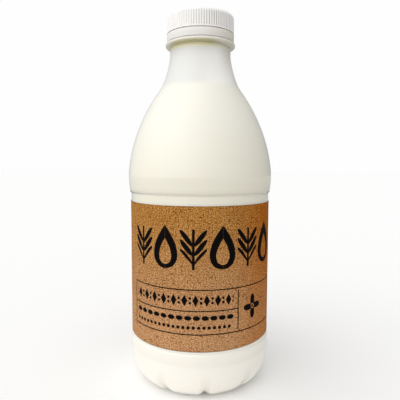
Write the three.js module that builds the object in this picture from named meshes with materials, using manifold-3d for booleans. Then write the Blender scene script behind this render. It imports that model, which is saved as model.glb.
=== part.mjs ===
// A full milk bottle: a round clear plastic bottle, the milk in it, a ribbed screw cap and a paper label.
// Millimetres and degrees. The bottle stands on the XY plane with its axis on +Z, and its front faces -Y.

import * as THREE from 'three';
import { mergeVertices } from 'three/addons/utils/BufferGeometryUtils.js';
import Module from 'manifold-3d';

const wasm = await Module();
wasm.setup();

// Bottle: radii and heights on the outside
const standInner = 24; // flat ring that it stands on
const standOuter = 26.5;
const pushUp = 9; // rise of the base under the middle
const bandRadius = 43.3; // band between the rounded heel and the label panel
const heelTop = 21.5; // crease where the heel meets the band
const bandTop = 27.6;
const panelRadius = 42.6;
const panelBottom = 29.4;
const panelTop = 115.6;
const stepRadius = 43.45; // lower edge of the shoulder, which stands out over the panel
const stepTop = 117.2;
const shoulderRadius = 44.1; // the widest place
const shoulderWidest = 126;
const inflectionRadius = 24.9; // where the dome of the shoulder turns into the flare of the neck
const inflectionHeight = 178.1;
const inflectionSlope = 0.735; // radius lost for each millimetre of height there
const neckRadius = 18.45;
const neckStart = 199.3;
const ringRadius = 21.2; // support ring under the cap
const ringBottom = 204;
const ringTop = 206.1;
const ringRounding = 0.9;
const lipHeight = 220.3;
const boreRadius = 16.55;
const lipRounding = 0.5;

// How far the curved stretches of the outline run on straight, at each end, before they bend
const pushUpHandle = 13;
const standHandle = { inwards: 5, up: 1.6 };
const heelHandles = [8, 18];
const heelLean = 0.3; // how far the heel leans in under the crease
const bulgeHandle = 3;
const bulgeLean = 0.1; // outward lean of the shoulder just over its lower edge
const domeHandles = [5, 24];
const flareHandles = [4.7, 4];

// Wall of the bottle
const baseMiddleWall = 1.4;
const baseWall = 0.8;
const bodyWall = 0.45;
const shoulderWall = 0.6;

// Grooves that divide the foot of the bottle into lobes
const grooveCount = 10;
const firstGroove = 5; // degrees to the right of the front
const grooveDepth = 1.7;
const grooveWidth = 3.5; // degrees from its middle to where it is about a third as deep
const grooveCentre = new THREE.Vector2(26, 18); // a groove is pressed in towards this radius and height
const grooveStart = 18; // degrees below the level around that centre, where a groove starts on the heel
const grooveFull = [58, 95]; // and where it is at its deepest
const grooveEnd = 145; // and where it runs out under the base

// Milk
const milkLevel = 178.5;
const milkGap = 0.3;

// Cap
const capRadius = 20.5;
const ribCount = 86;
const ribDepth = 0.45;
const capTop = 222.4;
const capRounding = 2;
const ribTop = 220.3;
const ribFoot = 212.3;
const slitTop = 211.7; // slit between the cap and its tamper band
const slitBottom = 211.1;
const bridgeCount = 8; // bridges across the slit
const bridgeAngle = 4;
const capBottom = 206.5;
const capBore = 18.8;
const capEdgeRounding = 0.4;
const rimSetback = 0.05; // of the smooth rim behind the tips of the ribs
const capJoint = 0.3; // how far the smooth parts reach into the ribbed wall
const liftOffLip = 0.3;

// Label
const labelBottom = 30.6;
const labelTop = 111.2;
const labelThickness = 0.2;
const labelGap = 0.15;
const labelOverlap = 12; // degrees at the back where its end lies over its start
const labelRamp = 8; // degrees over which the end climbs onto the start
const overlapGap = 0.1;

// Facets
const onAxis = 0.001; // a smaller radius counts as none
const weldDistance = 1e-4;
const cutPast = 1; // how far a cut runs past the face that it opens
const bodyColumns = 50;
const columnCrowding = 0.45; // how far the columns are drawn towards the grooves, 0 to 1
const capColumns = 48;
const labelColumns = 72;

const turn = 2 * Math.PI;
const quarterTurn = Math.PI / 2;
const radians = THREE.MathUtils.degToRad;
const at = (radius, height) => new THREE.Vector2(radius, height);

function line(start, end) {
  return new THREE.LineCurve(start, end);
}

function bend(start, startHandle, endHandle, end) {
  return new THREE.CubicBezierCurve(start, startHandle, endHandle, end);
}

// S-shaped change of radius between two upright stretches
function easeBetween(start, end) {
  const middle = (start.y + end.y) / 2;
  return bend(start, at(start.x, middle), at(end.x, middle), end);
}

// Quarter circle around a centre, from one angle to the next, counterclockwise
function roundCorner(radius, height, size, fromAngle) {
  return new THREE.EllipseCurve(radius, height, size, size, fromAngle, fromAngle + quarterTurn);
}

// Corners of the bottle's outline, where one stretch meets the next
const baseMiddle = at(0, pushUp);
const standIn = at(standInner, 0);
const standOut = at(standOuter, 0);
const heelEnd = at(bandRadius, heelTop);
const bandEnd = at(bandRadius, bandTop);
const panelStart = at(panelRadius, panelBottom);
const panelEnd = at(panelRadius, panelTop);
const stepEnd = at(stepRadius, stepTop);
const widest = at(shoulderRadius, shoulderWidest);
const inflection = at(inflectionRadius, inflectionHeight);
const neckFoot = at(neckRadius, neckStart);
const ontoInflection = (run) => at(inflection.x - run * inflectionSlope, inflection.y + run);

const baseDome = bend(
  baseMiddle,
  at(pushUpHandle, pushUp),
  at(standInner - standHandle.inwards, standHandle.up),
  standIn,
);
const heel = bend(
  standOut,
  at(standOuter + heelHandles[0], 0),
  at(bandRadius - heelLean, heelTop - heelHandles[1]),
  heelEnd,
);
const bulge = bend(
  stepEnd,
  at(stepRadius + bulgeLean * bulgeHandle, stepTop + bulgeHandle),
  at(shoulderRadius, shoulderWidest - bulgeHandle),
  widest,
);
const dome = bend(
  widest,
  at(shoulderRadius, shoulderWidest + domeHandles[0]),
  ontoInflection(-domeHandles[1]),
  inflection,
);
const flare = bend(
  inflection,
  ontoInflection(flareHandles[0]),
  at(neckRadius, neckStart - flareHandles[1]),
  neckFoot,
);

// Outline of the wall from the middle of the base up to the neck. Each stretch has its number of steps on the
// outside and on the inside, and the thickness of the wall at its two ends.
const neckWall = neckRadius - boreRadius;
const wallStretches = [
  { curve: baseDome, outside: 3, inside: 3, wall: [baseMiddleWall, baseWall] },
  { curve: line(standIn, standOut), outside: 1, inside: 1, wall: [baseWall, baseWall] },
  { curve: heel, outside: 5, inside: 5, wall: [baseWall, bodyWall] },
  { curve: line(heelEnd, bandEnd), outside: 1, inside: 1, wall: [bodyWall, bodyWall] },
  { curve: easeBetween(bandEnd, panelStart), outside: 2, inside: 1, wall: [bodyWall, bodyWall] },
  { curve: line(panelStart, panelEnd), outside: 1, inside: 1, wall: [bodyWall, bodyWall] },
  { curve: easeBetween(panelEnd, stepEnd), outside: 2, inside: 1, wall: [bodyWall, bodyWall] },
  { curve: bulge, outside: 2, inside: 1, wall: [bodyWall, bodyWall] },
  { curve: dome, outside: 8, inside: 6, wall: [bodyWall, shoulderWall] },
  { curve: flare, outside: 5, inside: 3, wall: [shoulderWall, neckWall] },
];

// Points along curves that meet end to end, each curve given with its number of steps
function pointsAlong(curves) {
  const points = [];
  for (const [curve, steps] of curves) {
    points.push(...curve.getPoints(steps).slice(points.length ? 1 : 0));
  }
  return points;
}

// The wall's outline moved inwards by the wall's thickness and a further gap
function insidePoints(gap) {
  const points = [];
  for (const { curve, inside, wall } of wallStretches) {
    for (let step = points.length ? 1 : 0; step <= inside; step += 1) {
      const share = step / inside;
      const along = curve.getTangent(share);
      const depth = THREE.MathUtils.lerp(wall[0], wall[1], share) + gap;
      const point = curve.getPoint(share);
      const radius = point.x - along.y * depth;
      points.push(at(radius < onAxis ? 0 : radius, point.y + along.x * depth));
    }
  }
  return points;
}

// Turns an outline of radii and heights about the Z axis, from the front round to the right
function turned(points, columns) {
  const geometry = new THREE.LatheGeometry(points, columns);
  geometry.rotateX(quarterTurn);
  return geometry;
}

// Draws the columns of a turned shape together at the grooves, and presses the grooves into its foot
function pressGrooves(geometry) {
  const positions = geometry.attributes.position;
  const point = new THREE.Vector3();
  for (let index = 0; index < positions.count; index += 1) {
    point.fromBufferAttribute(positions, index);
    const radius = Math.hypot(point.x, point.y);
    const even = Math.atan2(point.x, -point.y);
    const phase = grooveCount * (even - radians(firstGroove));
    const angle = even - (columnCrowding / grooveCount) * Math.sin(phase);
    const halfPhase = grooveCount * (angle - radians(firstGroove)) / 2;
    const fromGroove = Math.asin(Math.sin(halfPhase)) * 2 / grooveCount;
    const place = at(radius, point.z);
    const below = THREE.MathUtils.radToDeg(Math.atan2(grooveCentre.y - place.y, place.x - grooveCentre.x));
    const starts = THREE.MathUtils.smoothstep(below, grooveStart, grooveFull[0]);
    const ends = 1 - THREE.MathUtils.smoothstep(below, grooveFull[1], grooveEnd);
    const across = Math.exp(-((fromGroove / radians(grooveWidth)) ** 2));
    const inwards = grooveCentre.clone().sub(place).setLength(grooveDepth * starts * ends * across);
    place.add(inwards);
    positions.setXYZ(index, place.x * Math.sin(angle), -place.x * Math.cos(angle), place.y);
  }
  return geometry;
}

// Joins the vertices that meet at seams and on the axis, and drops the triangles that close up there
function welded(geometry) {
  const bare = geometry.clone();
  bare.deleteAttribute('normal');
  bare.deleteAttribute('uv');
  const merged = mergeVertices(bare, weldDistance);
  const kept = [];
  for (let corner = 0; corner < merged.index.count; corner += 3) {
    const triangle = [0, 1, 2].map((step) => merged.index.getX(corner + step));
    if (new Set(triangle).size === 3) {
      kept.push(...triangle);
    }
  }
  merged.setIndex(kept);
  return merged;
}

function solidOf(geometry) {
  const closed = welded(geometry);
  const vertProperties = new Float32Array(closed.attributes.position.array);
  const triVerts = new Uint32Array(closed.index.array);
  return new wasm.Manifold(new wasm.Mesh({ numProp: 3, vertProperties, triVerts }));
}

function geometryOf(solid) {
  const { vertProperties, triVerts } = solid.getMesh();
  const geometry = new THREE.BufferGeometry();
  geometry.setAttribute('position', new THREE.BufferAttribute(new Float32Array(vertProperties), 3));
  geometry.setIndex(Array.from(triVerts));
  return geometry;
}

function named(name, geometry, look) {
  geometry.computeVertexNormals();
  const mesh = new THREE.Mesh(geometry, new THREE.MeshStandardMaterial({ metalness: 0, ...look }));
  mesh.name = name;
  return mesh;
}

// One moulded shell, open at the mouth
function bottle() {
  const flat = ringRadius - ringRounding;
  const ringAndLip = pointsAlong([
    [line(at(neckRadius, ringBottom), at(flat, ringBottom)), 1],
    [roundCorner(flat, ringBottom + ringRounding, ringRounding, -quarterTurn), 2],
    [line(at(ringRadius, ringBottom + ringRounding), at(ringRadius, ringTop - ringRounding)), 1],
    [roundCorner(flat, ringTop - ringRounding, ringRounding, 0), 2],
    [line(at(flat, ringTop), at(neckRadius, ringTop)), 1],
    [line(at(neckRadius, ringTop), at(neckRadius, lipHeight - lipRounding)), 1],
    [line(at(neckRadius, lipHeight - lipRounding), at(neckRadius - lipRounding, lipHeight)), 1],
    [line(at(neckRadius - lipRounding, lipHeight), at(0, lipHeight)), 1],
  ]);
  const pastLip = lipHeight + cutPast;
  const outside = pointsAlong(wallStretches.map(({ curve, outside: steps }) => [curve, steps]));
  const outer = turned([...outside, ...ringAndLip], bodyColumns);
  const inner = turned([...insidePoints(0), at(boreRadius, pastLip), at(0, pastLip)], bodyColumns);
  const shell = solidOf(pressGrooves(outer)).subtract(solidOf(pressGrooves(inner)));
  const clear = { color: 0xeef1ea, roughness: 0.12, transparent: true, opacity: 0.3 };
  return named('bottle', geometryOf(shell), clear);
}

// Fills the bottle to the milk's level, just clear of the wall
function milk() {
  const points = insidePoints(milkGap);
  const above = points.findIndex((point) => point.y > milkLevel);
  const [last, next] = points.slice(above - 1, above + 1);
  const edge = last.clone().lerp(next, (milkLevel - last.y) / (next.y - last.y));
  const outline = [...points.slice(0, above), edge, at(0, milkLevel)];
  const body = pressGrooves(turned(outline, bodyColumns));
  return named('milk', welded(body), { color: 0xf3eedd, roughness: 0.35 });
}

// Prism of the ribbed wall, with a tip and a root for each rib
function ribbedWall() {
  const outline = new THREE.Shape();
  const points = [];
  for (let corner = 0; corner < 2 * ribCount; corner += 1) {
    const radius = corner % 2 ? capRadius - ribDepth : capRadius;
    const angle = corner * turn / (2 * ribCount);
    points.push(at(radius * Math.cos(angle), radius * Math.sin(angle)));
  }
  outline.setFromPoints(points);
  const geometry = new THREE.ExtrudeGeometry(outline, { depth: ribTop - ribFoot, bevelEnabled: false });
  geometry.translate(0, 0, ribFoot);
  return geometry;
}

// Sector of the slit between two bridges
function slitSector(index) {
  const pitch = 360 / bridgeCount;
  const start = radians(index * pitch + bridgeAngle / 2);
  const end = radians((index + 1) * pitch - bridgeAngle / 2);
  const outline = new THREE.Shape();
  outline.absarc(0, 0, capRadius + cutPast, start, end, false);
  outline.absarc(0, 0, capBore - cutPast, end, start, true);
  const geometry = new THREE.ExtrudeGeometry(outline, {
    depth: slitTop - slitBottom, bevelEnabled: false, curveSegments: 4,
  });
  geometry.translate(0, 0, slitBottom);
  return geometry;
}

// Screw cap and tamper band, moulded in one piece with bridges across the slit
function cap() {
  const sink = capJoint;
  const rimRadius = capRadius - rimSetback;
  const lid = turned(pointsAlong([
    [line(at(0, ribTop - sink), at(rimRadius, ribTop - sink)), 1],
    [line(at(rimRadius, ribTop - sink), at(rimRadius, capTop - capRounding)), 1],
    [roundCorner(rimRadius - capRounding, capTop - capRounding, capRounding, 0), 4],
    [line(at(rimRadius - capRounding, capTop), at(0, capTop)), 1],
  ]), capColumns);
  const edge = capEdgeRounding;
  const boreTop = lipHeight + liftOffLip;
  const band = turned(pointsAlong([
    [line(at(0, capBottom), at(capRadius - edge, capBottom)), 1],
    [line(at(capRadius - edge, capBottom), at(capRadius, capBottom + edge)), 1],
    [line(at(capRadius, capBottom + edge), at(capRadius, ribFoot)), 1],
    [line(at(capRadius, ribFoot), at(capRadius - edge, ribFoot + sink)), 1],
    [line(at(capRadius - edge, ribFoot + sink), at(0, ribFoot + sink)), 1],
  ]), capColumns);
  const bore = turned(pointsAlong([
    [line(at(0, capBottom - cutPast), at(capBore, capBottom - cutPast)), 1],
    [line(at(capBore, capBottom - cutPast), at(capBore, boreTop)), 1],
    [line(at(capBore, boreTop), at(0, boreTop)), 1],
  ]), capColumns);
  let solid = solidOf(ribbedWall()).add(solidOf(lid)).add(solidOf(band)).subtract(solidOf(bore));
  for (let index = 0; index < bridgeCount; index += 1) {
    solid = solid.subtract(solidOf(slitSector(index)));
  }
  return named('cap', geometryOf(solid), { color: 0xf4f3ef, roughness: 0.45 });
}

// Paper strip around the panel, whose end climbs over its start at the back
function label() {
  const inner = panelRadius + labelGap;
  const climb = labelThickness + overlapGap;
  const sweep = 360 + labelOverlap;
  const steps = Math.round(labelColumns * sweep / 360);
  const edgePoints = (radius) => Array.from({ length: steps + 1 }, (_, step) => {
    const along = sweep * step / steps;
    const raised = climb * THREE.MathUtils.smoothstep(along, 360 - labelRamp, 360);
    const angle = radians(along) + quarterTurn;
    return at((radius + raised) * Math.cos(angle), (radius + raised) * Math.sin(angle));
  });
  const outline = new THREE.Shape([...edgePoints(inner + labelThickness), ...edgePoints(inner).reverse()]);
  const geometry = new THREE.ExtrudeGeometry(outline, { depth: labelTop - labelBottom, bevelEnabled: false });
  geometry.translate(0, 0, labelBottom);
  return named('label', welded(geometry), { color: 0xb98a58, roughness: 0.8 });
}

const milkBottle = new THREE.Group();
milkBottle.add(bottle(), milk(), cap(), label());

export default milkBottle;
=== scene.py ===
import math

import bpy
import numpy as np
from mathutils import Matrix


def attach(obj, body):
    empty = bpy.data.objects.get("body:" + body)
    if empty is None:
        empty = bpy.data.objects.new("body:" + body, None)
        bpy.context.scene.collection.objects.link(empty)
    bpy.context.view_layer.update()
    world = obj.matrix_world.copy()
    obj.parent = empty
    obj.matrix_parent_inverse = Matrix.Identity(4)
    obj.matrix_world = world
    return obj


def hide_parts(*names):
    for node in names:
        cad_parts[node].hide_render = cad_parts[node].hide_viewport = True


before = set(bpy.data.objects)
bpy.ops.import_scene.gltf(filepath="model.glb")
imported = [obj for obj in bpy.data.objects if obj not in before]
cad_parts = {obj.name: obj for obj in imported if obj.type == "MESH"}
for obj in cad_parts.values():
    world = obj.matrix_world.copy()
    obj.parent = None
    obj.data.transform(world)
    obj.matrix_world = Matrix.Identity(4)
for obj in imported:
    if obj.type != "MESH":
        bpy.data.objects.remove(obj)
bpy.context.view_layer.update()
mm = 0.001


# ends and handles of a cubic curve, in radius and height: p(t) is their mean with the weights
# (1-t)^3, 3t(1-t)^2, 3t^2(1-t), t^3; also gives the inward normal, the slope turned by a quarter
def cubic(ends, steps):
    a, b, c, d = np.array(ends, float)
    t = np.linspace(0, 1, steps + 1)[:, None]
    s = 1 - t
    points = s ** 3 * a + 3 * t * s ** 2 * b + 3 * t ** 2 * s * c + t ** 3 * d
    slope = s ** 2 * (b - a) + 2 * s * t * (c - b) + t ** 2 * (d - c)
    slope /= np.linalg.norm(slope, axis=1, keepdims=True)
    return points, np.stack([-slope[:, 1], slope[:, 0]], axis=1)


# a straight stretch is a cubic with its handles at the thirds
def straight(ends, steps):
    a, b = np.array(ends, float)
    return cubic([a, a + (b - a) / 3, b - (b - a) / 3, b], steps)


# S-shaped change of radius: both handles at half height
def ease(ends, steps):
    (first, low), (last, high) = ends
    half = (low + high) / 2
    return cubic([(first, low), (first, half), (last, half), (last, high)], steps)


# corner rounded by part of a circle: centre + size x (cos, sin) of the turn, from one angle to the next
def rounded(centre, size, first, last, steps):
    turn = np.radians(np.linspace(first, last, steps + 1))
    return np.stack([centre[0] + size * np.cos(turn), centre[1] + size * np.sin(turn)], axis=1)


# 0 below low, 1 above high, and 3t^2 - 2t^3 between
def smooth(value, low, high):
    t = np.clip((value - low) / (high - low), 0, 1)
    return t * t * (3 - 2 * t)


# radius, height and angle from the front to the right, in millimetres and radians, as points in metres
def placed(radius, height, angle):
    return np.stack([radius * np.sin(angle), -radius * np.cos(angle), height + 0 * angle], axis=-1) * mm


# grid of points (rows, columns, 3) as a mesh object: each cell is a quad; columns may join round, rows may
# join round or end in one point at each end, and an open strip's two ends are closed by a row of quads
def gridPiece(name, points, columnsJoin=True, rows="poles", flat=None, sharp=40):
    rowCount, columnCount = points.shape[:2]
    index = np.arange(rowCount * columnCount).reshape(rowCount, columnCount)
    if rows == "poles":
        index = index[1:-1]
    across = np.roll(index, -1, axis=1) if columnsJoin else index[:, 1:]
    index = index if columnsJoin else index[:, :-1]
    if rows == "join":
        corners = [index, across, np.roll(across, -1, axis=0), np.roll(index, -1, axis=0)]
    else:
        corners = [index[:-1], across[:-1], across[1:], index[1:]]
    quads = np.stack(corners, axis=-1).reshape(-1, 4)
    triangles = np.zeros((0, 3), int)
    if rows == "poles":
        first, last = 0 * index[0], 0 * index[0] + rowCount * columnCount - 1
        foot = np.stack([first, across[0], index[0]], axis=-1)
        triangles = np.concatenate([foot, np.stack([index[-1], across[-1], last], axis=-1)])
    if not columnsJoin:  # the loop of each end column, folded into quads
        loop = np.arange(rowCount) * columnCount
        half = rowCount // 2
        near, far = loop[:half], loop[::-1][:half]
        end = np.stack([near[:-1], near[1:], far[1:], far[:-1]], axis=-1)
        quads = np.concatenate([quads, end[:, ::-1], end + columnCount - 1])
    used = np.unique(np.concatenate([quads.ravel(), triangles.ravel()]))
    renumber = np.zeros(rowCount * columnCount, int)
    renumber[used] = np.arange(len(used))
    mesh = bpy.data.meshes.new(name)
    faces = renumber[quads].tolist() + renumber[triangles].tolist()
    mesh.from_pydata(points.reshape(-1, 3)[used].tolist(), [], faces)
    mesh.polygons.foreach_set("use_smooth", np.ones(len(mesh.polygons), bool))
    if flat is not None:
        corner = np.zeros(len(mesh.loops), np.int32)
        mesh.loops.foreach_get("vertex_index", corner)
        layer = mesh.uv_layers.new(name="paperPlace")
        layer.uv.foreach_set("vector", flat.reshape(-1, 2)[used][corner].astype(np.float32).ravel())
    mesh.set_sharp_from_angle(angle=math.radians(sharp))
    piece = bpy.data.objects.new(name, mesh)
    bpy.context.scene.collection.objects.link(piece)
    print(name, len(mesh.vertices), "points", len(mesh.polygons), "faces")
    return piece


# puts a piece on the one body, in place of its node where it has one
def fit(piece, node=None):
    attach(piece, "root")
    if node:
        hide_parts(node)
    return piece


class Wire:
    # an output socket; arithmetic on it adds Math nodes to its tree
    def __init__(self, finish, socket):
        self.finish, self.socket = finish, socket

    def math(self, operation, *values, clamp=False):
        settings = {"operation": operation, "use_clamp": clamp}
        return self.finish.node("ShaderNodeMath", settings, dict(enumerate(values)))

    def __add__(self, other):
        return self.math("ADD", self, other)

    def __radd__(self, other):
        return self.math("ADD", other, self)

    def __sub__(self, other):
        return self.math("SUBTRACT", self, other)

    def __rsub__(self, other):
        return self.math("SUBTRACT", other, self)

    def __mul__(self, other):
        return self.math("MULTIPLY", self, other)

    def __rmul__(self, other):
        return self.math("MULTIPLY", other, self)

    def __truediv__(self, other):
        return self.math("DIVIDE", self, other)

    def __rtruediv__(self, other):
        return self.math("DIVIDE", other, self)

    def __pow__(self, other):
        return self.math("POWER", self, other)

    def __mod__(self, other):
        return self.math("FLOORED_MODULO", self, other)

    def __abs__(self):
        return self.math("ABSOLUTE", self)

    def __neg__(self):
        return self.math("MULTIPLY", self, -1)

    def least(self, other):
        return self.math("MINIMUM", self, other)

    def most(self, other):
        return self.math("MAXIMUM", self, other)

    def whole(self):
        return self.math("FLOOR", self)

    def clamped(self):
        return self.math("ADD", self, 0, clamp=True)

    def rise(self, low, high):  # 0 at low, 1 at high, smooth between
        settings = {"interpolation_type": "SMOOTHSTEP"}
        return self.finish.node("ShaderNodeMapRange", settings, {0: self, 1: low, 2: high})

    def spread(self, low, high):  # low where this is 0, high where it is 1
        return self * (high - low) + low


class Finish:
    # a material or world in the making
    def __init__(self, holder):
        holder.use_nodes = True
        self.holder, self.tree = holder, holder.node_tree
        self.tree.nodes.clear()

    def node(self, kind, settings=None, sockets=None, output=0):
        made = self.tree.nodes.new(kind)
        for key, value in (settings or {}).items():
            setattr(made, key, value)
        for key, value in (sockets or {}).items():
            if isinstance(value, Wire):
                self.tree.links.new(value.socket, made.inputs[key])
            else:
                made.inputs[key].default_value = value
        return Wire(self, made.outputs[output])

    def mix(self, share, start, end, how="MIX"):
        settings = {"data_type": "RGBA", "blend_type": how}
        return self.node("ShaderNodeMix", settings, {0: share, 6: start, 7: end}, output=2)

    def place(self):  # the piece's own coordinates, in millimetres
        spot = self.node("ShaderNodeTexCoord", output="Object")
        return self.node("ShaderNodeVectorMath", {"operation": "SCALE"}, {0: spot, 3: 1 / mm})

    def parts(self, vector):
        split = self.node("ShaderNodeSeparateXYZ", sockets={0: vector})
        return [Wire(self, split.socket.node.outputs[axis]) for axis in range(3)]

    def joined(self, x, y, z=0.0):
        return self.node("ShaderNodeCombineXYZ", sockets={0: x, 1: y, 2: z})

    def noise(self, vector, scale, detail, roughness=0.5):
        sockets = {"Vector": vector, "Scale": scale, "Detail": detail, "Roughness": roughness}
        return self.node("ShaderNodeTexNoise", sockets=sockets)

    def cells(self, vector, scale, output="Distance"):
        sockets = {"Vector": vector, "Scale": scale}
        return self.node("ShaderNodeTexVoronoi", {"voronoi_dimensions": "2D"}, sockets, output)

    def bump(self, height, depth):  # depth in millimetres
        return self.node("ShaderNodeBump", sockets={"Height": height, "Distance": depth * mm})

    def surface(self, shader):
        onWorld = isinstance(self.holder, bpy.types.World)
        end = self.tree.nodes.new("ShaderNodeOutputWorld" if onWorld else "ShaderNodeOutputMaterial")
        self.tree.links.new(shader.socket, end.inputs["Surface"])


# an empty material of the given name
def newFinish(name):
    return Finish(bpy.data.materials.new(name))


bottleSizes = {
    "pushUp": 9, "pushUpReach": 13, "standRise": (5, 1.6), "standInner": 24, "standOuter": 26.5,
    "heelHandles": (8, 18), "heelLean": 0.3, "heelTop": 21.5, "bandRadius": 43.3, "bandTop": 27.6,
    "panelRadius": 42.6, "panelBottom": 29.4, "panelTop": 115.6,
    "stepRadius": 43.45, "stepTop": 117.2, "stepHandle": (0.3, 3),
    "shoulderRadius": 44.1, "shoulderWidest": 126, "shoulderHandles": (3, 5),
    "inflection": (24.9, 178.1), "inflectionSlope": 0.735, "inflectionHandles": (24, 4.7),
    "neckRadius": 18.45, "neckStart": 199.3, "neckHandle": 4,
    "ringRadius": 21.2, "ringBottom": 204, "ringTop": 206.1, "ringRounding": 0.9, "ringFillet": 0.5,
    "ringMargin": 0.05, "lipHeight": 220.3, "boreRadius": 16.55, "lipRounding": 0.5,
    "baseMiddleWall": 1.4, "baseWall": 0.8, "bodyWall": 0.45, "shoulderWall": 0.6,
    "grooves": 10, "firstGroove": 5, "grooveDepth": 1.7, "grooveWidth": 3.5,
    "grooveCentre": (26, 18), "grooveStarts": (18, 58), "grooveEnds": (95, 145),
    "columns": 240, "crowding": 0.45,
    "steps": (18, 3, 34, 3, 10, 8, 12, 12, 46, 30),  # rows of points in each stretch of the outline
    "insideFineness": 0.6, "cornerSteps": (5, 7),
}


# outline of the wall from the middle of the base to the neck: points, inward normals and wall thickness;
# each stretch is a cubic between two corners, and its wall changes evenly from one to the other
def wallOutline(b, fineness):
    middle, base = b["baseMiddleWall"], b["baseWall"]
    body, shoulder = b["bodyWall"], b["shoulderWall"]
    stand, heel = (b["standInner"], 0), (b["standOuter"], 0)
    bandLow, bandHigh = (b["bandRadius"], b["heelTop"]), (b["bandRadius"], b["bandTop"])
    panelLow, panelHigh = (b["panelRadius"], b["panelBottom"]), (b["panelRadius"], b["panelTop"])
    step, widest = (b["stepRadius"], b["stepTop"]), (b["shoulderRadius"], b["shoulderWidest"])
    bend, neck = b["inflection"], (b["neckRadius"], b["neckStart"])
    inwards, rise = b["standRise"]
    heelOut, heelDown = b["heelHandles"]
    widestDown, widestUp = b["shoulderHandles"]
    bendDown, bendUp = b["inflectionHandles"]
    slope = b["inflectionSlope"]

    def off(point, right, up):
        return point[0] + right, point[1] + up

    stretches = [
        (cubic, [(0, b["pushUp"]), (b["pushUpReach"], b["pushUp"]), off(stand, -inwards, rise), stand],
         middle, base),
        (straight, [stand, heel], base, base),
        (cubic, [heel, off(heel, heelOut, 0), off(bandLow, -b["heelLean"], -heelDown), bandLow], base, body),
        (straight, [bandLow, bandHigh], body, body),
        (ease, [bandHigh, panelLow], body, body),
        (straight, [panelLow, panelHigh], body, body),
        (ease, [panelHigh, step], body, body),
        (cubic, [step, off(step, *b["stepHandle"]), off(widest, 0, -widestDown), widest], body, body),
        (cubic, [widest, off(widest, 0, widestUp), off(bend, bendDown * slope, -bendDown), bend],
         body, shoulder),
        (cubic, [bend, off(bend, -bendUp * slope, bendUp), off(neck, 0, -b["neckHandle"]), neck],
         shoulder, b["neckRadius"] - b["boreRadius"]),
    ]
    points, normals, walls = [], [], []
    for (curve, ends, first, last), count in zip(stretches, b["steps"]):
        stretch, normal = curve(ends, max(2, round(count * fineness)))
        keep = slice(1 if points else 0, None)
        points.append(stretch[keep])
        normals.append(normal[keep])
        walls.append(np.linspace(first, last, len(stretch))[keep])
    return np.concatenate(points), np.concatenate(normals), np.concatenate(walls)


# the outline moved inwards along its normal by the wall and a further gap
def insideOutline(b, gap, fineness):
    points, normals, walls = wallOutline(b, fineness)
    moved = points + normals * (walls + gap)[:, None]
    moved[0, 0] = 0
    return moved


# columns of angles, drawn together at the grooves: even angle less a sine of the groove phase
def bottleAngles(b):
    even = np.linspace(0, 2 * np.pi, b["columns"], endpoint=False)
    phase = b["grooves"] * (even - math.radians(b["firstGroove"]))
    return even - b["crowding"] / b["grooves"] * np.sin(phase)


# an outline turned about the axis, each point of the foot drawn towards the groove centre by
# depth x (how far round below that centre it lies) x exp(-(angle to the nearest groove / width)^2)
def turned(b, outline):
    angle = bottleAngles(b)[None, :]
    radius, height = outline[:, :1] + 0 * angle, outline[:, 1:] + 0 * angle
    phase = b["grooves"] * (angle - math.radians(b["firstGroove"]))
    toGroove = np.arcsin(np.sin(phase / 2)) * 2 / b["grooves"]
    toCentre = np.stack([b["grooveCentre"][0] - radius, b["grooveCentre"][1] - height], axis=-1)
    below = np.degrees(np.arctan2(toCentre[..., 1], -toCentre[..., 0]))
    press = b["grooveDepth"] * smooth(below, *b["grooveStarts"]) * (1 - smooth(below, *b["grooveEnds"]))
    press = press * np.exp(-(toGroove / math.radians(b["grooveWidth"])) ** 2)
    toCentre *= (press / np.linalg.norm(toCentre, axis=-1))[..., None]
    return placed(radius + toCentre[..., 0], height + toCentre[..., 1], angle)


# clear wall: outside from the base up to the lip, then back down the inside to the base; the faces of the
# ring under the cap take the second finish
def makeBottle(b):
    outside = wallOutline(b, 1)[0]
    flat, rim, fillet = b["ringRadius"] - b["ringRounding"], b["ringRounding"], b["ringFillet"]
    neck, lip, bore, edge = b["neckRadius"], b["lipHeight"], b["boreRadius"], b["lipRounding"]
    few, more = b["cornerSteps"]
    ringAndLip = np.concatenate([
        rounded((neck + fillet, b["ringBottom"] - fillet), fillet, 180, 90, few),
        rounded((flat, b["ringBottom"] + rim), rim, -90, 0, more),
        rounded((flat, b["ringTop"] - rim), rim, 0, 90, more),
        rounded((neck + fillet, b["ringTop"] + fillet), fillet, 270, 180, few),
        [(neck, (lip + b["ringTop"]) / 2)],
        rounded((neck - edge, lip - edge), edge, 0, 90, few),
        rounded((bore + edge, lip - edge), edge, 90, 180, few),
        [(bore, b["ringTop"]), (bore, b["ringBottom"])],
    ])
    inside = insideOutline(b, 0, b["insideFineness"])[::-1]
    piece = gridPiece("bottleWall", turned(b, np.concatenate([outside, ringAndLip, inside])))
    middles = np.zeros(len(piece.data.polygons) * 3)
    piece.data.polygons.foreach_get("center", middles)
    x, y, z = middles.reshape(-1, 3).T / mm
    onRing = (z > b["ringBottom"] - fillet) & (z < b["ringTop"] + fillet)
    onRing &= np.hypot(x, y) > neck - b["ringMargin"]
    piece.data.polygons.foreach_set("material_index", onRing.astype(np.int32))
    return piece


milkSizes = {
    "level": 178.5, "intoWall": 0.14, "meniscus": 1.6, "meniscusReach": 2.2, "fineness": 1.6,
    "crease": (116.9, 0.6, 0.4), "ridge": (21.5, 0.7, 0.2),  # height, half width and size of each line
    "surfaceRings": (0, 0.2, 0.5, 1, 1.7, 2.6, 4, 6, 9, 13, 18),  # steps in from the wall
}


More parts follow.
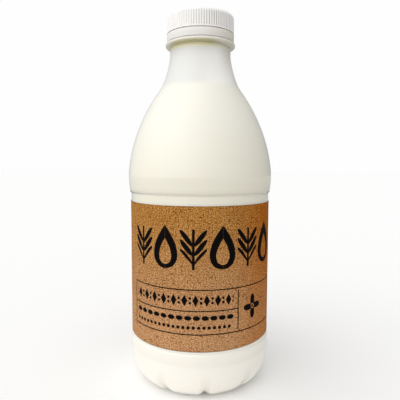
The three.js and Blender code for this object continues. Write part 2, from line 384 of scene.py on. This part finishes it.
# milk up to its level, reaching just into the wall; near the wall the surface climbs by
# meniscus x exp(-distance from the wall / reach); it keeps off the thicker wall under the shoulder, and
# fills the ridge over the heel, by size x exp(-(height from the line / half width)^2)
def makeMilk(b, m):
    side = insideOutline(b, -m["intoWall"], m["fineness"])
    for (at, half, size), sign in ((m["crease"], -1), (m["ridge"], 1)):
        side[:, 0] += sign * size * np.exp(-((side[:, 1] - at) / half) ** 2)
    height = m["level"] + m["meniscus"]
    below = side[side[:, 1] < height]
    upper = side[side[:, 1] > b["shoulderWidest"]]
    edge = np.interp(height, upper[:, 1], upper[:, 0])
    inwards = np.append(m["surfaceRings"], edge)
    climb = m["meniscus"] * np.exp(-inwards / m["meniscusReach"])
    top = np.stack([edge - inwards, m["level"] + climb], axis=1)
    return gridPiece("milkFill", turned(b, np.concatenate([below, top])), sharp=60)


filmSizes = {
    "foot": 173.5, "out": 176.5, "top": 206.5, "thick": 0.22, "intoWall": 0.32, "rows": 70,
    "thinFrom": 0.75, "thinBy": 0.8,  # share of its height where it begins to thin, and by how much
}


# film of milk left inside the neck: a thin closed skin on the wall that comes out of the milk's own side
# between foot and out, and thins towards its upper edge
def makeFilm(b, f):
    angle = np.linspace(0, 2 * np.pi, b["columns"], endpoint=False)[None, :]
    up = np.linspace(0, 1, f["rows"])[:, None]
    height = f["foot"] + (f["top"] - f["foot"]) * up
    inside = insideOutline(b, 0, 1)
    upper = inside[inside[:, 1] > b["shoulderWidest"]]
    neck = np.concatenate([upper, [(b["boreRadius"], b["lipHeight"])]])
    wall = np.interp(height, neck[:, 1], neck[:, 0])
    thin = f["thick"] * (1 - f["thinBy"] * smooth(up, f["thinFrom"], 1))
    outer = placed(wall + f["intoWall"] * smooth(height, f["foot"], f["out"]), height, angle)
    inner = placed(wall - thin, height, angle)[::-1]
    return gridPiece("milkFilm", np.concatenate([outer, inner]), rows="join", sharp=70)


capSizes = {
    "radius": 20.5, "setback": 0.05, "ribs": 86, "ribDepth": 0.6, "grooveShare": 0.145, "perRib": 10,
    "top": 222.4, "rounding": 2.0, "ribTop": (220.3, 221.5), "ribFoot": (212.15, 212.4), "skirtRows": 34,
    "slit": (211.1, 211.7), "slitDepth": 1.3,
    "slitLip": (0.06, 0.05, 0.01),  # down, inwards, and the margin of its wall
    "bridges": 8, "bridgeAngle": 2.5, "bridgeDepth": 0.4, "bridgeFade": 0.6,
    "bottom": 206.5, "bandMiddle": 208.5, "edge": 0.35, "edgeSteps": 4,
    "bore": 18.8, "boreMiddle": 214, "fillet": 0.6, "filletStart": 0.8, "underLid": 220.6, "underLidRing": 9,
    "lidDish": 0.25, "dishZone": (0.5, 4), "dishRows": 9, "lidSteps": 12,
}


# lid, ribbed skirt and tamper band in one: an outline turned about the axis, less ribDepth x
# exp(-(distance from the middle of a groove / its width)^2) on the skirt and less the slit between bridges
def makeCap(c):
    rim = c["radius"] - c["setback"]
    bore, edge, fillet, rounding = c["bore"], c["edge"], c["fillet"], c["rounding"]
    foot, under, top, steps = c["bottom"] + c["edge"], c["underLid"], c["top"], c["edgeSteps"]
    low, high = c["slit"]
    down, inwards, margin = c["slitLip"]
    skirt = np.linspace(high + down, top - rounding, c["skirtRows"])
    lid = rounded((rim - rounding, top - rounding), rounding, 0, 90, c["lidSteps"])
    dish = np.linspace(rim - rounding, 0, c["dishRows"])[1:]
    dishHeight = top - c["lidDish"] * smooth(rim - rounding - dish, *c["dishZone"])
    outline = np.concatenate([
        [(0, under), (c["underLidRing"], under), (bore - c["filletStart"], under)],
        rounded((bore - fillet, under - fillet), fillet, 90, 0, steps),
        [(bore, c["boreMiddle"]), (bore, foot)],
        rounded((bore + edge, foot), edge, 180, 270, steps),
        rounded((rim - edge, foot), edge, -90, 0, steps),
        [(rim, c["bandMiddle"]), (rim, low - down), (rim - inwards, low), (rim - down, low + margin)],
        [(rim - down, high - margin), (rim - inwards, high)],
        np.stack([np.full_like(skirt, rim), skirt], axis=1), lid[1:],
        np.stack([dish, dishHeight], axis=1),
    ])
    angle = np.linspace(0, 2 * np.pi, c["ribs"] * c["perRib"], endpoint=False)[None, :]
    radius, height = outline[:, :1] + 0 * angle, outline[:, 1:] + 0 * angle
    outside = radius > bore
    across = (angle * c["ribs"] / (2 * np.pi)) % 1 - 0.5
    groove = np.exp(-(across / c["grooveShare"]) ** 2) - math.exp(-(0.5 / c["grooveShare"]) ** 2)
    ribbed = smooth(height, *c["ribFoot"]) * (1 - smooth(height, *c["ribTop"])) * outside
    pitch = 2 * np.pi / c["bridges"]
    toBridge = np.abs((angle + pitch / 2) % pitch - pitch / 2)
    fromBridge = smooth(np.degrees(toBridge) - c["bridgeAngle"] / 2, 0, c["bridgeFade"])
    cut = c["bridgeDepth"] + (c["slitDepth"] - c["bridgeDepth"]) * fromBridge
    inSlit = (height > low + margin / 2) & (height < high - margin / 2) & outside
    pressed = c["ribDepth"] * ribbed * groove + cut * inSlit
    return gridPiece("screwCap", placed(radius - pressed, height, angle))


labelSizes = {
    "bottom": 30.6, "top": 111.2, "inner": 42.75, "thick": 0.2, "edge": 0.04,
    "overlap": 12, "ramp": 8, "climb": 0.3, "columns": 496, "rows": 64,
    "ripple": 0.02, "rippleTurns": (9, 2), "rippleHeights": (17, 5.5),
}


# paper strip wound once round the panel from the back, its end climbing over its start; the skin ripples by a
# product of two sines of angle and height, and each point's flat place, arc and height, is kept for the print
def makeLabel(s):
    sweep = np.radians(np.linspace(0, 360 + s["overlap"], s["columns"]))[None, :]
    climb = s["climb"] * smooth(np.degrees(sweep), 360 - s["ramp"], 360)
    edge = s["edge"]
    height = np.concatenate([
        [s["bottom"]], np.linspace(s["bottom"] + edge, s["top"] - edge, s["rows"]), [s["top"]],
        [s["top"]], np.linspace(s["top"] - edge, s["bottom"] + edge, s["rows"]), [s["bottom"]],
    ])[:, None]
    out = np.ones(s["rows"])
    depth = np.concatenate([[1 - edge / s["thick"]], out, [1 - edge / s["thick"]],
                            [edge / s["thick"]], 0 * out, [edge / s["thick"]]])[:, None]
    angle = sweep - np.pi
    (turns, slowTurns), (tall, short) = s["rippleTurns"], s["rippleHeights"]
    ripple = s["ripple"] * np.sin(turns * angle + height / tall) * np.sin(height / short + slowTurns * angle)
    radius = s["inner"] + climb + s["thick"] * depth + ripple * (depth > 0)
    flat = np.stack([(s["inner"] + s["thick"]) * angle + 0 * height, height + 0 * angle], axis=-1)
    return gridPiece("paperLabel", placed(radius, height + 0 * angle, angle), False, "join", flat, sharp=50)


clearLook = {
    "tint": (0.985, 0.99, 0.985, 1), "neckTint": (0.96, 0.94, 0.80, 1), "neckZone": (198.5, 202.5),
    # the grey after the edge key is a painted shade where one looks along the wall, for a darker outline
    "alongWallShade": (0.60, 0.59, 0.60, 1), "edgeZone": (0.80, 0.97), "ior": 1.57,
    "gloss": (0.03, 0.08), "glossNoise": (0.09, 3), "waviness": 0.02, "waveNoise": (0.12, 2),
}


# clear plastic that lets lamps and bounced light straight through, with a faint waviness and a deeper colour
# where the neck is thick; where one looks along the wall it takes a painted grey shade
def clearPlastic(look):
    f = newFinish("clearPlastic")
    spot = f.place()
    neck = f.parts(spot)[2].rise(*look["neckZone"])
    # share of painted grey shade, growing where one looks along the wall
    along = f.node("ShaderNodeLayerWeight", output="Facing").rise(*look["edgeZone"])
    body = f.node("ShaderNodeBsdfPrincipled", sockets={
        "Base Color": f.mix(along, f.mix(neck, look["tint"], look["neckTint"]), look["alongWallShade"]),
        "Roughness": f.noise(spot, *look["glossNoise"]).spread(*look["gloss"]),
        "IOR": look["ior"], "Transmission Weight": 1.0,
        "Normal": f.bump(f.noise(spot, *look["waveNoise"]), look["waviness"]),
    })
    through = f.node("ShaderNodeBsdfTransparent", sockets={0: look["tint"]})
    for ray in ("Is Shadow Ray", "Is Diffuse Ray"):
        passing = f.node("ShaderNodeLightPath", output=ray)
        body = f.node("ShaderNodeMixShader", sockets={0: passing, 1: body, 2: through})
    f.surface(body)
    return f.holder


ringLook = {
    # the first colour is a yellowish painted shade under the ring; the second is the ring's side where that
    # shade ends
    "under": (0.62, 0.575, 0.34, 1), "side": (0.77, 0.74, 0.63, 1), "edge": (0.86, 0.84, 0.80, 1),
    "sideZone": (204.9, 203.9), "edgeZone": (205.1, 205.9), "underShadeFrom": (-20, -13), "underShadeTo": (14, 5),
    "cloudNoise": (0.5, 3), "wander": 0.5, "roughness": (0.16, 0.28), "ior": 1.57,
    "glow": {"Subsurface Weight": 0.2, "Subsurface Radius": (1.0, 0.95, 0.8), "Subsurface Scale": 0.001},
}


# thick ring under the cap: clouded plastic, with a yellowish painted shade underneath across the middle, and
# pale towards its upper edge
def cloudedPlastic(look):
    f = newFinish("cloudedPlastic")
    spot = f.place()
    cloud = f.noise(spot, *look["cloudNoise"])
    x, y, z = f.parts(spot)
    height = z + (cloud - 0.5) * look["wander"]
    # where the painted shade lies: under the ring, between x of about -13 and 5 mm
    underRingShade = height.rise(*look["sideZone"]) * x.rise(*look["underShadeFrom"]) * x.rise(*look["underShadeTo"])
    colour = f.mix(underRingShade, look["side"], look["under"])
    f.surface(f.node("ShaderNodeBsdfPrincipled", sockets={
        "Base Color": f.mix(height.rise(*look["edgeZone"]), colour, look["edge"]),
        "Roughness": cloud.spread(*look["roughness"]), "IOR": look["ior"], **look["glow"],
    }))
    return f.holder


milkLook = {
    "foot": (0.91, 0.87, 0.795, 1), "middle": (0.90, 0.857, 0.735, 1), "cream": (0.90, 0.872, 0.775, 1),
    "footZone": (20, 100), "creamZone": (120, 165), "cloudNoise": (0.05, 3), "cloudiness": 0.2,
    "shade": (0.74, 0.69, 0.60, 1), "overRidge": (21.3, 21.9, 30.0), "ridgeShade": 0.25,
    "overCrease": (116.4, 117.2, 120.6), "creaseShade": 0.42,
    "inGrooves": (0.62, 1.0), "grooveRise": (20, 6), "grooveShade": 0.5,
    "roughness": (0.35, 0.45), "ior": 1.35,
    "glow": {"Subsurface Weight": 0.15, "Subsurface Radius": (1.0, 0.8, 0.5), "Subsurface Scale": 0.002},
}


# milk, whiter at the foot and with a touch of cream towards the top, with faint clouds, and shade over the
# ridge, over the crease and in the grooves of the foot, which lie where the cosine of their phase is near one
def freshMilk(look, b):
    f = newFinish("freshMilk")
    spot = f.place()
    x, y, height = f.parts(spot)
    clouds = f.noise(spot, *look["cloudNoise"])
    cloudy = (clouds - 0.5) * look["cloudiness"]
    colour = f.mix((height.rise(*look["footZone"]) + cloudy).clamped(), look["foot"], look["middle"])
    colour = f.mix((height.rise(*look["creamZone"]) + cloudy).clamped(), colour, look["cream"])
    phase = (x.math("ARCTAN2", x, -y) - math.radians(b["firstGroove"])) * b["grooves"]
    groove = phase.math("COSINE", phase).rise(*look["inGrooves"]) * height.rise(*look["grooveRise"])

    def lineShade(low, line, high):
        return height.rise(low, line) * height.rise(high, line)

    shade = (groove * look["grooveShade"]).most(lineShade(*look["overRidge"]) * look["ridgeShade"])
    shade = shade.most(lineShade(*look["overCrease"]) * look["creaseShade"])
    f.surface(f.node("ShaderNodeBsdfPrincipled", sockets={
        "Base Color": f.mix(shade, colour, look["shade"]),
        "Roughness": clouds.spread(*look["roughness"]), "IOR": look["ior"], **look["glow"],
    }))
    return f.holder


filmLook = {
    "thin": (0.78, 0.77, 0.745, 1), "rich": (0.90, 0.88, 0.77, 1), "richZone": (182.5, 176.5),
    # dull yellow painted shade under the ring, and a paler painted light on it towards the right
    "underRingShade": (0.92, 0.85, 0.50, 1), "litUnderRing": (0.97, 0.93, 0.80, 1), "litUnderRingFrom": (4, 12),
    "shadedTop": (200.6, 202.8), "wave": 2.4,  # wavering edge of the painted shade at the top
    "right": (0.64, 0.61, 0.46, 1), "rightShadeShare": 0.6,  # painted shade towards the right, high in the neck
    "rightShadeFrom": (9, 19), "rightShadeUp": (183, 200), "rightShadeEnds": (204.5, 200),
    "run": (0.98, 0.95, 0.915, 1), "runFrom": (-3, 12), "runTo": (22, 16.5),  # painted light right of the middle
    "runWide": 0.3, "runLong": 0.04, "runNoise": (1.0, 3), "roughness": (0.3, 0.45),
}


# thin film of milk: faint runs drawn out downwards, rich just over the milk, painted light right of the
# middle, painted shade high on the right, and at the top a dull yellow painted shade under the ring, lit
# paler to the right
def milkFilm(look):
    f = newFinish("milkFilm")
    x, y, z = f.parts(f.place())
    wide = look["runWide"]
    runs = f.noise(f.joined(x * wide, y * wide, z * look["runLong"]), *look["runNoise"])
    # painted light on the film right of the middle
    colour = f.mix(x.rise(*look["runFrom"]) * x.rise(*look["runTo"]), look["thin"], look["run"])
    # painted shade towards the right, high in the neck
    right = x.rise(*look["rightShadeFrom"]) * z.rise(*look["rightShadeUp"]) * z.rise(*look["rightShadeEnds"])
    colour = f.mix(right * look["rightShadeShare"], colour, look["right"])
    top = z + (runs - 0.5) * look["wave"]
    colour = f.mix(top.rise(*look["richZone"]), colour, look["rich"])
    # painted shade under the ring, with painted light making it paler towards the right
    underRingShade = f.mix(x.rise(*look["litUnderRingFrom"]), look["underRingShade"], look["litUnderRing"])
    f.surface(f.node("ShaderNodeBsdfPrincipled", sockets={
        "Base Color": f.mix(top.rise(*look["shadedTop"]), colour, underRingShade),
        "Roughness": runs.spread(*look["roughness"]),
    }))
    return f.holder


capLook = {
    "colour": (0.99, 0.97, 0.95, 1), "worn": (0.965, 0.945, 0.92, 1), "wornNoise": (0.25, 4),
    # the groove colour is a painted shade in the grooves between the ribs, stronger towards the right
    "groove": (0.36, 0.34, 0.31, 1), "grooveRadii": (20.43, 20.1), "grooveFoot": (212.0, 212.6),
    "grooveTop": (220.9, 220.0), "grooveShade": (0.05, 0.8), "shadeFrom": (-12, 20),
    "band": (0.82, 0.79, 0.755, 1), "bandZone": (211.6, 211.2),
    # painted shade on the tamper band, darker and warmer towards the right
    "bandShadeRight": (0.74, 0.69, 0.595, 1), "bandShadeFrom": (2, 21),
    "grainNoise": (6.0, 2), "grainDepth": 0.008, "roughness": (0.36, 0.54), "ior": 1.49,
    "glow": {"Subsurface Weight": 0.1, "Subsurface Radius": (1.0, 0.95, 0.85), "Subsurface Scale": 0.0006},
}


# white moulded plastic: slight mottling, fine grain, painted shade down in the grooves between the ribs that
# grows towards the right, and a tamper band with painted shade, darker and warmer, towards the right
def whitePlastic(look):
    f = newFinish("whitePlastic")
    spot = f.place()
    x, y, z = f.parts(spot)
    mottle = f.noise(spot, *look["wornNoise"])
    grain = f.noise(spot, *look["grainNoise"])
    inGroove = ((x * x + y * y) ** 0.5).rise(*look["grooveRadii"])
    inGroove = inGroove * z.rise(*look["grooveFoot"]) * z.rise(*look["grooveTop"])
    # painted shade in the grooves, growing from left to right
    shade = inGroove * x.rise(*look["shadeFrom"]).spread(*look["grooveShade"])
    # painted shade on the tamper band, darker and warmer towards the right
    band = f.mix(x.rise(*look["bandShadeFrom"]), look["band"], look["bandShadeRight"])
    colour = f.mix(z.rise(*look["bandZone"]), f.mix(mottle, look["colour"], look["worn"]), band)
    f.surface(f.node("ShaderNodeBsdfPrincipled", sockets={
        "Base Color": f.mix(shade, colour, look["groove"]),
        "Roughness": mottle.spread(*look["roughness"]), "IOR": look["ior"], **look["glow"],
        "Normal": f.bump(grain, look["grainDepth"]),
    }))
    return f.holder


paperLook = {
    "upper": (0.385, 0.136, 0.017, 1), "lower": (0.55, 0.232, 0.087, 1), "lowerZone": (112, 30),
    "lightUpper": (0.70, 0.38, 0.11, 1), "light": (0.68, 0.44, 0.23, 1), "lightZone": (112, 50),
    "dark": (0.10, 0.033, 0.006, 1), "toneRange": (-0.05, 0.9),
    "cloudNoise": (0.07, 3, 0.6), "grainNoise": (1.25, 3, 0.7), "fineNoise": (2.6, 2, 0.6),
    "streakNoise": (1.0, 2), "streakShape": (0.55, 0.09),
    "cloudTone": 0.6, "grainTone": 5.0, "fineTone": 9.5, "streakTone": 0.6,
    "lyingFlecks": (0.35, 1.0, 0.55, 0.2, 0.22),  # stretch along and up, scale, size and chance
    "standingFlecks": (1.0, 0.4, 0.6, 0.2, 0.2), "darkShare": 0.9,
    "paleFlecks": (0.5, 1.0, 0.8, 0.22, 0.25), "paleShare": 0.6, "fleckCore": 0.4, "chanceEdge": 0.02,
    "labelShade": (0.97, 0.65, 0.29, 1), "labelShadeFrom": (14, 46), "labelShadeTo": (120, 75),  # painted shade, darker and redder, towards the right
    "labelShadeUp": (30, 100), "labelShadeShare": (0.6, 1.0),
    "cutEdges": (labelSizes["bottom"], labelSizes["top"]), "cutZone": (0.55, 0.1), "cutShare": 0.6,
    "ink": (0.004, 0.003, 0.003, 1), "inkEdge": 0.16, "inkWander": 0.25, "wanderNoise": (1.7, 2),
    "wanderApart": 40.0, "inkGaps": (0.68, 0.8), "gapShare": 0.5, "inkRoughness": 0.7,
    "roughness": (0.76, 0.96), "fibreDepth": 0.03, "fibreShare": 0.7, "specular": 0.03,
}
printLayout = {
    "middle": 4.7, "motifs": 6, "motifPitch": 16.3,
    "motifMiddle": 88.7, "motifHalf": 12.0, "motifMargin": 0.5,
    "drop": 7.5, "dropHole": 3.8, "holeShare": 0.6, "holeDown": 2.4,
    "ear": {"reach": 7.5, "pitch": 5.2, "thick": 2.1, "slope": 1.1, "stem": 0.75, "stemDown": 1},
    "frameLeft": -45.0, "frameRight": 54.4, "divider": 22.6, "dividerGap": 1.6, "lineHalf": 0.33,
    "frameTop": 65.5, "frameMiddle": 53.7, "frameBottom": 40.5, "inset": (2.5, 2), "rowInset": 3.9,
    "lozenge": {"pitch": 6.2, "half": (1.75, 3.3), "depth": 1.5, "dot": 0.75, "dotAt": (3.1, 1.25)},
    "seed": {"pitch": 4.8, "half": (2.0, 1.35)}, "bead": {"pitch": 2.9, "half": 0.95},
    "flower": {"petals": 4, "left": 5, "reach": 4.7, "swing": 2.3, "hole": 1.5, "eye": 0.8},
    "backLeft": 84.0, "backRight": 124.0, "backRules": 6.4, "backTop": 88, "backDrop": 2,
}


# ink where a shape's depth inside its edge, in millimetres, is above nothing
def inked(depth, edge):
    return (depth / edge + 0.5).clamped()


# drop: half width r x sqrt(1-c^2) x sqrt((1-c)/2) / 0.77 at the share c of its half height; 0.77 is the peak
def dropDepth(x, y, half, tall):
    peak = 0.77
    c = (y / tall).most(-1).least(1)
    return (((1 - c * c) * (1 - c) / 2).most(0)) ** 0.5 * (half / peak) - abs(x)


# ear: leaves that climb from a stem at a slope, one pair per pitch, each a lens in its width
def earDepth(x, y, ear, tall):
    reach, pitch, slope = ear["reach"], ear["pitch"], ear["slope"]
    start, half = reach * 0.52, reach * 0.48  # middle and half width of the lens
    side = abs(x)
    climb = y - side * slope + tall
    lens = (1 - ((side - start) / half) ** 2).most(0) ** 0.5 * ear["thick"]
    leaf = lens - abs(climb % pitch - pitch / 2)
    within = (climb - pitch * 0.4).least(2 * tall - reach * slope - climb).least(lens * 50 - 1)
    down = ear["stemDown"]
    stem = (ear["stem"] - side).least(tall - down - abs(y + down))
    return leaf.least(within).most(stem)


# everything printed on the paper, as a share of ink at the place u along and v up
def printInk(u, v, edge, lay):
    t = (u - lay["middle"]) / lay["motifPitch"] + lay["motifs"] / 2
    number = t.whole()
    x = (t - number - 0.5) * lay["motifPitch"]
    y = v - lay["motifMiddle"]
    tall = lay["motifHalf"]
    hole = dropDepth(x, y + lay["holeDown"], lay["dropHole"], tall * lay["holeShare"])
    drop = dropDepth(x, y, lay["drop"], tall).least(-hole)
    ear = earDepth(x, y, lay["ear"], tall)
    odd = number % 2
    row = inked(drop, edge) * odd + inked(ear, edge) * (1 - odd)
    length = lay["motifs"] * lay["motifPitch"] / 2
    row = row * inked(length - abs(u - lay["middle"]), edge)
    row = row * inked(tall + lay["motifMargin"] - abs(y), edge)

    thin = lay["lineHalf"]
    left, right, bar, gap = lay["frameLeft"], lay["frameRight"], lay["divider"], lay["dividerGap"]
    top, middle, bottom = lay["frameTop"], lay["frameMiddle"], lay["frameBottom"]

    def rule(height, start, end):
        return (thin - abs(v - height)).least((end - start) / 2 + thin - abs(u - (start + end) / 2))

    def upright(place, start, end):
        return (thin - abs(u - place)).least((end - start) / 2 + thin - abs(v - (start + end) / 2))

    lines = rule(top, left, right).most(rule(bottom, left, right)).most(rule(middle, left, bar))
    lines = lines.most(upright(left, bottom, top)).most(upright(right, bottom, top))
    lines = lines.most(upright(bar, bottom + gap, top - gap))

    # rows of small ornaments between the rules
    def ornaments(height, shape, pitch):
        start, end = left + lay["inset"][0], bar - lay["inset"][1]
        along = (u - start) % pitch - pitch / 2
        count = math.floor((end - start) / pitch) * pitch
        reach = count / 2 - abs(u - start - count / 2)
        return shape(along, v - height).least(reach)

    def lozenge(x, y):
        (wide, high), (dotAcross, dotUp) = lay["lozenge"]["half"], lay["lozenge"]["dotAt"]
        big = (1 - abs(x) / wide - abs(y) / high) * lay["lozenge"]["depth"]
        side = abs(abs(x) - dotAcross)
        dots = lay["lozenge"]["dot"] - (side * side + (abs(y) - dotUp) ** 2) ** 0.5
        return big.most(dots)

    def seed(x, y):
        wide, high = lay["seed"]["half"]
        return ((1 - (x / wide) ** 2).most(0)) ** 0.5 * high - abs(y)

    def bead(x, y):
        return lay["bead"]["half"] - (x * x + y * y) ** 0.5

    lines = lines.most(ornaments((top + middle) / 2, lozenge, lay["lozenge"]["pitch"]))
    lines = lines.most(ornaments(middle - lay["rowInset"], seed, lay["seed"]["pitch"]))
    lines = lines.most(ornaments(bottom + lay["rowInset"], bead, lay["bead"]["pitch"]))

    # flower in the cell to the right
    flower = lay["flower"]
    px, py = u - (bar + right) / 2 + flower["left"], v - (top + bottom) / 2
    far = (px * px + py * py) ** 0.5
    turn = px.math("ARCTAN2", py, px) * flower["petals"]
    petal = turn.math("COSINE", turn) * flower["swing"] + flower["reach"]
    lines = lines.most((petal - far).least(far - flower["hole"])).most(flower["eye"] - far)

    # ruled panels at the back
    around = abs(u)
    pitch = lay["backRules"]
    reach = (lay["backRight"] - around).least(around - lay["backLeft"])
    panel = (thin - abs((v - bottom) % pitch - pitch / 2)).least(reach)
    panel = panel.least(lay["backTop"] - v).least(v - bottom + lay["backDrop"])
    return row.most(inked(lines.most(panel), edge))


# unbleached paper: soft mottling, fine light and dark specks, short fibres, painted shade towards the right;
# black print on it
def kraftPaper(look, lay):
    f = newFinish("kraftPaper")
    flat = f.node("ShaderNodeUVMap", {"uv_map": "paperPlace"})
    u, v, _ = f.parts(flat)
    clouds = f.noise(flat, *look["cloudNoise"])
    grain = f.noise(flat, *look["grainNoise"])
    fine = f.noise(flat, *look["fineNoise"])
    wide, high = look["streakShape"]
    streak = f.noise(f.joined(u * wide, v * high), *look["streakNoise"])
    tone = (clouds - 0.5) * look["cloudTone"] + (grain - 0.5) * look["grainTone"]
    tone = tone + (fine - 0.5) * look["fineTone"] + (streak - 0.5) * look["streakTone"]
    paper = f.mix(v.rise(*look["lowerZone"]), look["upper"], look["lower"])
    light = f.mix(v.rise(*look["lightZone"]), look["lightUpper"], look["light"])
    paper = f.mix(tone.rise(*look["toneRange"]), paper, light)
    paper = f.mix((-tone).rise(*look["toneRange"]), paper, look["dark"])

    # flecks: a share of the cells of a stretched net, each a small soft spot in its middle
    def flecks(stretchU, stretchV, scale, size, share):
        spread = f.joined(u * stretchU, v * stretchV)
        chance = f.parts(f.cells(spread, scale, "Color"))[0]
        spot = f.cells(spread, scale).rise(size, size * look["fleckCore"])
        return spot * chance.rise(share + look["chanceEdge"], share)

    dark = flecks(*look["lyingFlecks"]).most(flecks(*look["standingFlecks"]))
    paper = f.mix(dark * look["darkShare"], paper, look["dark"])
    paper = f.mix(flecks(*look["paleFlecks"]) * look["paleShare"], paper, light)
    # painted shade: darker and redder towards the right side
    shadedRight = u.rise(*look["labelShadeFrom"]) * u.rise(*look["labelShadeTo"])
    shadedRight = shadedRight * v.rise(*look["labelShadeUp"]).spread(*look["labelShadeShare"])
    paper = f.mix(shadedRight, paper, look["labelShade"], "MULTIPLY")
    foot, top = look["cutEdges"]
    cut = (v - foot).least(top - v)  # darker along the cut edges
    paper = f.mix(cut.rise(*look["cutZone"]) * look["cutShare"], paper, look["dark"])

    sway = f.noise(flat, *look["wanderNoise"])
    lift = f.noise(f.joined(u + look["wanderApart"], v), *look["wanderNoise"])
    inkU, inkV = (place + (noise - 0.5) * look["inkWander"] for place, noise in ((u, sway), (v, lift)))
    ink = printInk(inkU, inkV, look["inkEdge"], lay)
    ink = ink * (1 - grain.rise(*look["inkGaps"]) * look["gapShare"])
    roughness = grain.spread(*look["roughness"]) * (1 - ink) + ink * look["inkRoughness"]
    fibres = grain * look["fibreShare"] + fine * (1 - look["fibreShare"])
    f.surface(f.node("ShaderNodeBsdfPrincipled", sockets={
        "Base Color": f.mix(ink, paper, look["ink"]), "Roughness": roughness,
        "Specular IOR Level": look["specular"], "Normal": f.bump(fibres, look["fibreDepth"]),
    }))
    return f.holder


bottleWall = fit(makeBottle(bottleSizes), "bottle")
bottleWall.data.materials.append(clearPlastic(clearLook))
bottleWall.data.materials.append(cloudedPlastic(ringLook))
milkFill = fit(makeMilk(bottleSizes, milkSizes), "milk")
milkFill.data.materials.append(freshMilk(milkLook, bottleSizes))
neckFilm = fit(makeFilm(bottleSizes, filmSizes))
neckFilm.data.materials.append(milkFilm(filmLook))
screwCap = fit(makeCap(capSizes), "cap")
screwCap.data.materials.append(whitePlastic(capLook))
paperLabel = fit(makeLabel(labelSizes), "label")
paperLabel.data.materials.append(kraftPaper(paperLook, printLayout))
print("pieces and finishes made")

stageLook = {
    "half": 6.0, "floor": (0.95, 0.95, 0.945, 1), "away": (0.42, 0.42, 0.41, 1), "awayFrom": (75, 280),
    "backFrom": (350, 2500), "back": 0.3, "floorFinish": {"Roughness": 1.0, "Specular IOR Level": 0.0},
    "white": (1, 1, 1, 1), "backdrop": 0.99, "dome": 0.67, "towardsLight": (-0.40, -0.34, 0.42),
    "key": 0.80, "keyTowards": (-0.62, -0.60, 0.51), "keyNarrow": 3.0,
}


# square floor at the foot of the bottle, pale to the camera; what it throws back on the bottle is least at
# arm's length and grows again towards the horizon, so that no edge is mirrored in the plastic
def makeFloor(s):
    half = s["half"]
    mesh = bpy.data.meshes.new("floor")
    corners = [(-half, -half, 0), (half, -half, 0), (half, half, 0), (-half, half, 0)]
    mesh.from_pydata(corners, [], [(0, 1, 2, 3)])
    floor = bpy.data.objects.new("floor", mesh)
    bpy.context.scene.collection.objects.link(floor)
    f = newFinish("paleFloor")
    x, y, _ = f.parts(f.place())
    seen = f.node("ShaderNodeLightPath", output="Is Camera Ray")
    far = (x * x + y * y) ** 0.5
    away = far.rise(*s["awayFrom"]) * (1 - far.rise(*s["backFrom"]) * s["back"]) * (1 - seen)
    f.surface(f.node("ShaderNodeBsdfPrincipled", sockets={
        "Base Color": f.mix(away, s["floor"], s["away"]), **s["floorFinish"],
    }))
    mesh.materials.append(f.holder)


# a soft dome of light that grows evenly towards the upper front left, dome x (1 + direction . towardsLight),
# and a broad key from there, key x (direction . keyTowards)^keyNarrow; the camera sees a plain pale backdrop
def makeLight(s):
    world = bpy.data.worlds.new("studio")
    bpy.context.scene.world = world
    f = Finish(world)
    seen = f.node("ShaderNodeLightPath", output="Is Camera Ray")
    facing = f.node("ShaderNodeTexCoord", output="Generated")

    def along(direction):
        settings = {"operation": "DOT_PRODUCT"}
        return f.node("ShaderNodeVectorMath", settings, {0: facing, 1: direction}, "Value")

    key = along(s["keyTowards"]).most(0) ** s["keyNarrow"] * s["key"]
    strength = (along(s["towardsLight"]) + 1) * s["dome"] + key
    soft = f.node("ShaderNodeBackground", sockets={0: s["white"], 1: strength})
    back = f.node("ShaderNodeBackground", sockets={0: s["white"], 1: s["backdrop"]})
    f.surface(f.node("ShaderNodeMixShader", sockets={0: seen, 1: soft, 2: back}))


cameraPlace = {
    "lens": 38.38, "sensor": 36, "near": 0.01, "at": (0, -0.2687, 0.1345), "tilt": 84.98, "roll": -0.18,
}


# camera before the bottle at the height of its shoulder, tilted a little down
def makeCamera(c):
    lens = bpy.data.cameras.new("photoView")
    lens.lens, lens.sensor_width, lens.clip_start = c["lens"], c["sensor"], c["near"]
    camera = bpy.data.objects.new("photoView", lens)
    camera.location = c["at"]
    camera.rotation_euler = (math.radians(c["tilt"]), math.radians(c["roll"]), 0)
    bpy.context.scene.collection.objects.link(camera)
    bpy.context.scene.camera = camera


makeFloor(stageLook)
makeLight(stageLook)
makeCamera(cameraPlace)
bpy.context.scene.view_settings.view_transform = "Standard"
print("stage, light and camera set")
